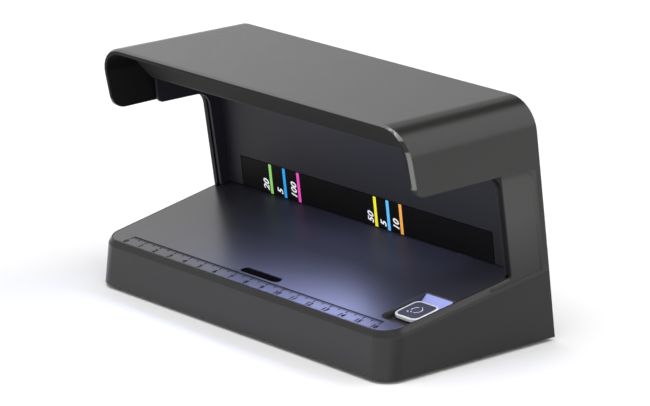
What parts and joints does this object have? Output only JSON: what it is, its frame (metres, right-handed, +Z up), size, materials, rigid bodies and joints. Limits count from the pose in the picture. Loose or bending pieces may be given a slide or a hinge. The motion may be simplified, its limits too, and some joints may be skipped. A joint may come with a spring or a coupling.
{
  "type": "counterfeit banknote detector",
  "caption": "Desk unit that lights a banknote with ultraviolet light: a lamp hood on a column over an inclined deck with a slot window and a push button.",
  "frame": {"origin": "under the middle of the unit, on the plane that the feet stand on", "axes": "+X to the right as seen from the front, +Y towards the rear face, +Z up"},
  "size_m": [0.194, 0.094, 0.1065],
  "materials": {
    "black_plastic": "satin black-grey moulding",
    "chamber_plastic": "satin, slightly blue black",
    "deck_plastic": "satin dark grey",
    "dark_plastic": "plain black",
    "gloss_black": "glossy black filter",
    "label_paper": "printed film",
    "white_plastic": "smooth white",
    "inlay": "smooth blue-grey",
    "rubber": "matt",
    "steel": "plain",
    "ferrite": "ground",
    "aluminium": "plain",
    "board": "green circuit board",
    "violet_glass": "violet filter",
    "led": "clear violet",
    "cable": "black sleeve"
  },
  "bodies": {
    "unit": {"outer_housing": "black_plastic", "chamber_liner": "chamber_plastic", "thread_guide_label": "label_paper", "deck_plate": "deck_plastic", "sensor_window": "gloss_black", "magnetic_head": "ferrite", "sensor_bracket": "steel", "sensor_screw_1": "steel", "sensor_screw_2": "steel", "push_switch_body": "steel", "switch_board": "board", "switch_board_screw_1": "steel", "switch_board_screw_2": "steel", "bottom_cover": "black_plastic", "bottom_screw_1": "steel", "bottom_screw_2": "steel", "bottom_screw_3": "steel", "bottom_screw_4": "steel", "foot_front_left": "rubber", "foot_front_right": "rubber", "foot_rear_left": "rubber", "foot_rear_right": "rubber", "rear_screw_1": "steel", "rear_screw_2": "steel", "rear_screw_3": "steel", "rear_screw_4": "steel", "lamp_window": "violet_glass", "uv_led_board": "aluminium", "led_board_screw_1": "steel", "led_board_screw_2": "steel", "led_board_screw_3": "steel", "led_board_screw_4": "steel", "led_board_connector": "white_plastic", "uv_led_1": "led", "uv_led_2": "led", "uv_led_3": "led", "uv_led_4": "led", "uv_led_5": "led", "uv_led_6": "led", "control_board": "board", "control_board_screw_1": "steel", "control_board_screw_2": "steel", "control_board_screw_3": "steel", "control_board_screw_4": "steel", "controller_chip": "dark_plastic", "filter_capacitor": "aluminium", "buzzer": "dark_plastic", "lamp_connector": "white_plastic", "sensor_connector": "white_plastic", "switch_connector": "white_plastic", "dc_jack": "dark_plastic", "lamp_cable": "cable", "sensor_cable": "cable", "switch_cable": "cable"},
    "power_button": {"button_cap": "white_plastic", "button_face": "inlay"},
    "switch_plunger": {"push_switch_plunger": "dark_plastic"}
  },
  "joints": [
    {"name": "power_button_press", "type": "slide", "parent": "unit", "child": "power_button", "axis": [0, 0.1599, -0.9871], "range_m": [0, 0.0005], "stiffness_N_per_m": 600, "springref_m": -0.0015},
    {"name": "switch_plunger_press", "type": "slide", "parent": "unit", "child": "switch_plunger", "axis": [0, 0.1599, -0.9871], "range_m": [0, 0.0005]}
  ],
  "couplings": [
    {"joint": "switch_plunger_press", "follows": "power_button_press", "ratio": 1}
  ]
}
